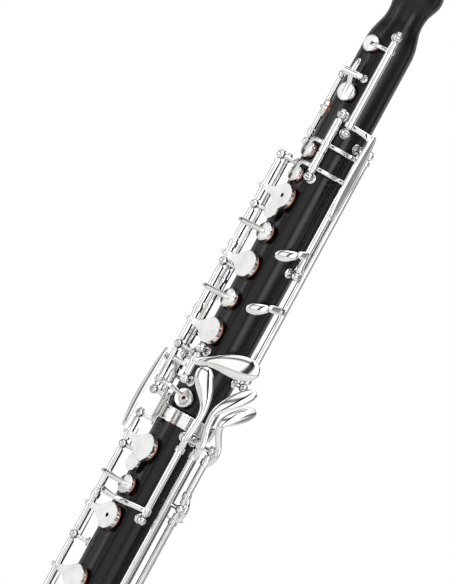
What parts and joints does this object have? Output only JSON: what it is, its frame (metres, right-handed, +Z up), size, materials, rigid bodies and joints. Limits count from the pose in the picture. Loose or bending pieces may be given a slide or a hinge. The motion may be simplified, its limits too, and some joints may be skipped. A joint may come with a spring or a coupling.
{
  "type": "oboe",
  "caption": "Double-reed woodwind: black wooden body in three joints with a flared bell, and silver keys, cups and levers hinged on rods along it.",
  "frame": {"origin": "centre of the bell's rim, on the surface that the oboe stands on", "axes": "+Z up the bore towards the reed; -Y the front, where the finger plates face; +X the side of the little-finger levers"},
  "size_m": [0.059, 0.059, 0.6418],
  "materials": {
    "blackwood": "polished, near-black close-grained wood",
    "silver": "bright silver plate",
    "rod_steel": "turned steel and plated posts",
    "pad_skin": "thin reddish-brown skin",
    "cork": "sanded cork",
    "cane": "scraped cane"
  },
  "bodies": {
    "oboe_body": {"upper_joint": "blackwood", "lower_joint": "blackwood", "bell": "blackwood", "reed_socket_ring": "silver", "lower_joint_socket_ring": "silver", "bell_socket_ring": "silver", "bell_rim_ring": "silver", "upper_tenon_cork": "cork", "lower_tenon_cork": "cork", "reed_staple": "rod_steel", "reed_cane": "cane", "thumb_rest": "silver", "upper_stack_rods": "rod_steel", "trill_rod": "rod_steel", "side_octave_rod": "rod_steel", "thumb_octave_rod": "rod_steel", "third_octave_pivot": "rod_steel", "side_lever_rods": "rod_steel", "g_sharp_rod": "rod_steel", "side_trill_rod": "rod_steel", "lower_stack_rod": "rod_steel", "left_lever_rods": "rod_steel", "right_little_rod": "rod_steel", "bell_key_rod": "rod_steel"},
    "half_hole_key": {"half_hole_key": "silver", "half_hole_pad": "pad_skin"},
    "c_key": {"c_key": "silver", "c_pad": "pad_skin"},
    "a_key": {"a_key": "silver", "a_pad": "pad_skin"},
    "b_flat_key": {"b_flat_key": "silver", "b_flat_pad": "pad_skin"},
    "g_key": {"g_key": "silver", "g_pad": "pad_skin"},
    "g_sharp_key": {"g_sharp_key": "silver", "g_sharp_pad": "pad_skin"},
    "bridge_lever": {"bridge_lever": "silver"},
    "upper_trill_key": {"upper_trill_key": "silver"},
    "lower_trill_key": {"lower_trill_key": "silver"},
    "upper_trill_lever": {"upper_trill_lever": "silver"},
    "lower_trill_lever": {"lower_trill_lever": "silver"},
    "side_octave_key": {"side_octave_key": "silver"},
    "thumb_octave_key": {"thumb_octave_key": "silver"},
    "third_octave_key": {"third_octave_key": "silver"},
    "g_sharp_lever": {"g_sharp_lever": "silver"},
    "side_trill_key": {"side_trill_key": "silver"},
    "f_sharp_key": {"f_sharp_key": "silver", "f_sharp_pad": "pad_skin"},
    "f_vent_key": {"f_vent_key": "silver", "f_vent_pad": "pad_skin"},
    "e_key": {"e_key": "silver", "e_pad": "pad_skin"},
    "d_key": {"d_key": "silver"},
    "low_c_key": {"low_c_key": "silver"},
    "left_f_lever": {"left_f_lever": "silver"},
    "low_b_key": {"low_b_key": "silver"},
    "low_b_flat_lever": {"low_b_flat_lever": "silver"},
    "low_b_flat_key": {"low_b_flat_key": "silver"},
    "e_flat_key": {"e_flat_key": "silver"},
    "c_sharp_key": {"c_sharp_key": "silver"}
  },
  "joints": [
    {"name": "half_hole_key_hinge", "type": "hinge", "parent": "oboe_body", "child": "half_hole_key", "pos_m": [-0.01485, -0.01485, 0.4677], "axis": [0, 0, 1], "range_deg": [0, 6], "stiffness_Nm_per_rad": 0.008, "springref_deg": -22.92},
    {"name": "c_key_hinge", "type": "hinge", "parent": "oboe_body", "child": "c_key", "pos_m": [-0.01485, -0.01485, 0.4486], "axis": [0, 0, 1], "range_deg": [0, 6], "stiffness_Nm_per_rad": 0.008, "springref_deg": -22.92},
    {"name": "a_key_hinge", "type": "hinge", "parent": "oboe_body", "child": "a_key", "pos_m": [-0.01485, -0.01485, 0.431], "axis": [0, 0, 1], "range_deg": [0, 6], "stiffness_Nm_per_rad": 0.008, "springref_deg": -22.92},
    {"name": "b_flat_key_hinge", "type": "hinge", "parent": "oboe_body", "child": "b_flat_key", "pos_m": [-0.01485, -0.01485, 0.4129], "axis": [0, 0, 1], "range_deg": [0, 6], "stiffness_Nm_per_rad": 0.008, "springref_deg": -22.92},
    {"name": "g_key_hinge", "type": "hinge", "parent": "oboe_body", "child": "g_key", "pos_m": [-0.01485, -0.01485, 0.3953], "axis": [0, 0, 1], "range_deg": [0, 6], "stiffness_Nm_per_rad": 0.008, "springref_deg": -22.92},
    {"name": "g_sharp_key_hinge", "type": "hinge", "parent": "oboe_body", "child": "g_sharp_key", "pos_m": [-0.01485, -0.01485, 0.3612], "axis": [0, 0, 1], "range_deg": [-5, 0], "stiffness_Nm_per_rad": 0.008, "springref_deg": 22.92},
    {"name": "bridge_lever_hinge", "type": "hinge", "parent": "oboe_body", "child": "bridge_lever", "pos_m": [-0.01468, -0.00953, 0.395], "axis": [0, 0, 1], "range_deg": [0, 3], "stiffness_Nm_per_rad": 0.008, "springref_deg": -22.92},
    {"name": "upper_trill_key_hinge", "type": "hinge", "parent": "oboe_body", "child": "upper_trill_key", "pos_m": [0.00925, -0.01602, 0.4986], "axis": [0, 0, 1], "range_deg": [0, 6], "stiffness_Nm_per_rad": 0.008, "springref_deg": -22.92},
    {"name": "lower_trill_key_hinge", "type": "hinge", "parent": "oboe_body", "child": "lower_trill_key", "pos_m": [0.00925, -0.01602, 0.4862], "axis": [0, 0, 1], "range_deg": [0, 6], "stiffness_Nm_per_rad": 0.008, "springref_deg": -22.92},
    {"name": "upper_trill_lever_hinge", "type": "hinge", "parent": "oboe_body", "child": "upper_trill_lever", "pos_m": [0.01819, -0.00064, 0.47], "axis": [0, 0, 1], "range_deg": [-9.8, 0], "stiffness_Nm_per_rad": 0.008, "springref_deg": 22.92},
    {"name": "lower_trill_lever_hinge", "type": "hinge", "parent": "oboe_body", "child": "lower_trill_lever", "pos_m": [0.01832, 0.00423, 0.445], "axis": [0, 0, 1], "range_deg": [-5.6, 0], "stiffness_Nm_per_rad": 0.008, "springref_deg": 22.92},
    {"name": "side_octave_key_hinge", "type": "hinge", "parent": "oboe_body", "child": "side_octave_key", "pos_m": [0.01367, -0.01231, 0.533], "axis": [0, 0, 1], "range_deg": [0, 6], "stiffness_Nm_per_rad": 0.008, "springref_deg": -22.92},
    {"name": "thumb_octave_key_hinge", "type": "hinge", "parent": "oboe_body", "child": "thumb_octave_key", "pos_m": [-0.01798, -0.00094, 0.515], "axis": [0, 0, 1], "range_deg": [-6, 0], "stiffness_Nm_per_rad": 0.008, "springref_deg": 22.92},
    {"name": "third_octave_key_hinge", "type": "hinge", "parent": "oboe_body", "child": "third_octave_key", "pos_m": [0.00231, -0.01644, 0.5343], "axis": [0.9903, 0.1392, 0], "range_deg": [-6, 0], "stiffness_Nm_per_rad": 0.008, "springref_deg": 22.92},
    {"name": "g_sharp_lever_hinge", "type": "hinge", "parent": "oboe_body", "child": "g_sharp_lever", "pos_m": [0.00323, -0.01832, 0.3775], "axis": [0, 0, 1], "range_deg": [0, 5], "stiffness_Nm_per_rad": 0.008, "springref_deg": -22.92},
    {"name": "side_trill_key_hinge", "type": "hinge", "parent": "oboe_body", "child": "side_trill_key", "pos_m": [-0.01842, -0.00425, 0.368], "axis": [0, 0, 1], "range_deg": [0, 5], "stiffness_Nm_per_rad": 0.008, "springref_deg": -22.92},
    {"name": "f_sharp_key_hinge", "type": "hinge", "parent": "oboe_body", "child": "f_sharp_key", "pos_m": [-0.0152, -0.0152, 0.334], "axis": [0, 0, 1], "range_deg": [0, 6], "stiffness_Nm_per_rad": 0.008, "springref_deg": -22.92},
    {"name": "f_vent_key_hinge", "type": "hinge", "parent": "oboe_body", "child": "f_vent_key", "pos_m": [-0.0152, -0.0152, 0.3124], "axis": [0, 0, 1], "range_deg": [0, 6], "stiffness_Nm_per_rad": 0.008, "springref_deg": -22.92},
    {"name": "e_key_hinge", "type": "hinge", "parent": "oboe_body", "child": "e_key", "pos_m": [-0.0152, -0.0152, 0.2953], "axis": [0, 0, 1], "range_deg": [0, 6], "stiffness_Nm_per_rad": 0.008, "springref_deg": -22.92},
    {"name": "d_key_hinge", "type": "hinge", "parent": "oboe_body", "child": "d_key", "pos_m": [-0.0152, -0.0152, 0.262], "axis": [0, 0, 1], "range_deg": [0, 6], "stiffness_Nm_per_rad": 0.008, "springref_deg": -22.92},
    {"name": "low_c_key_hinge", "type": "hinge", "parent": "oboe_body", "child": "low_c_key", "pos_m": [-0.0152, -0.0152, 0.209], "axis": [0, 0, 1], "range_deg": [0, 6], "stiffness_Nm_per_rad": 0.008, "springref_deg": -22.92},
    {"name": "left_f_lever_hinge", "type": "hinge", "parent": "oboe_body", "child": "left_f_lever", "pos_m": [0.01638, -0.01147, 0.323], "axis": [0, 0, 1], "range_deg": [-4, 0], "stiffness_Nm_per_rad": 0.008, "springref_deg": 22.92},
    {"name": "low_b_key_hinge", "type": "hinge", "parent": "oboe_body", "child": "low_b_key", "pos_m": [0.01941, -0.00484, 0.245], "axis": [0, 0, 1], "range_deg": [0, 7.5], "stiffness_Nm_per_rad": 0.008, "springref_deg": -22.92},
    {"name": "low_b_flat_lever_hinge", "type": "hinge", "parent": "oboe_body", "child": "low_b_flat_lever", "pos_m": [0.02134, 0.00262, 0.235], "axis": [0, 0, 1], "range_deg": [0, 4.2], "stiffness_Nm_per_rad": 0.008, "springref_deg": -22.92},
    {"name": "low_b_flat_key_hinge", "type": "hinge", "parent": "oboe_body", "child": "low_b_flat_key", "pos_m": [0.02281, -0.002, 0.086], "axis": [0, 0, 1], "range_deg": [0, 7.5], "stiffness_Nm_per_rad": 0.008, "springref_deg": -22.92},
    {"name": "e_flat_key_hinge", "type": "hinge", "parent": "oboe_body", "child": "e_flat_key", "pos_m": [0.00536, -0.01999, 0.24], "axis": [0, 0, 1], "range_deg": [-5, 0], "stiffness_Nm_per_rad": 0.008, "springref_deg": 22.92},
    {"name": "c_sharp_key_hinge", "type": "hinge", "parent": "oboe_body", "child": "c_sharp_key", "pos_m": [0.00536, -0.01999, 0.2], "axis": [0, 0, 1], "range_deg": [-5, 0], "stiffness_Nm_per_rad": 0.008, "springref_deg": 22.92}
  ],
  "couplings": [
    {"joint": "c_key_hinge", "follows": "a_key_hinge", "ratio": 1},
    {"joint": "b_flat_key_hinge", "follows": "g_key_hinge", "ratio": 1},
    {"joint": "g_sharp_key_hinge", "follows": "g_sharp_lever_hinge", "ratio": -1},
    {"joint": "bridge_lever_hinge", "follows": "f_sharp_key_hinge", "ratio": 0.5},
    {"joint": "upper_trill_key_hinge", "follows": "upper_trill_lever_hinge", "ratio": -0.612},
    {"joint": "lower_trill_key_hinge", "follows": "lower_trill_lever_hinge", "ratio": -1.06},
    {"joint": "f_vent_key_hinge", "follows": "e_key_hinge", "ratio": 1},
    {"joint": "low_b_flat_key_hinge", "follows": "low_b_flat_lever_hinge", "ratio": 1.75}
  ]
}
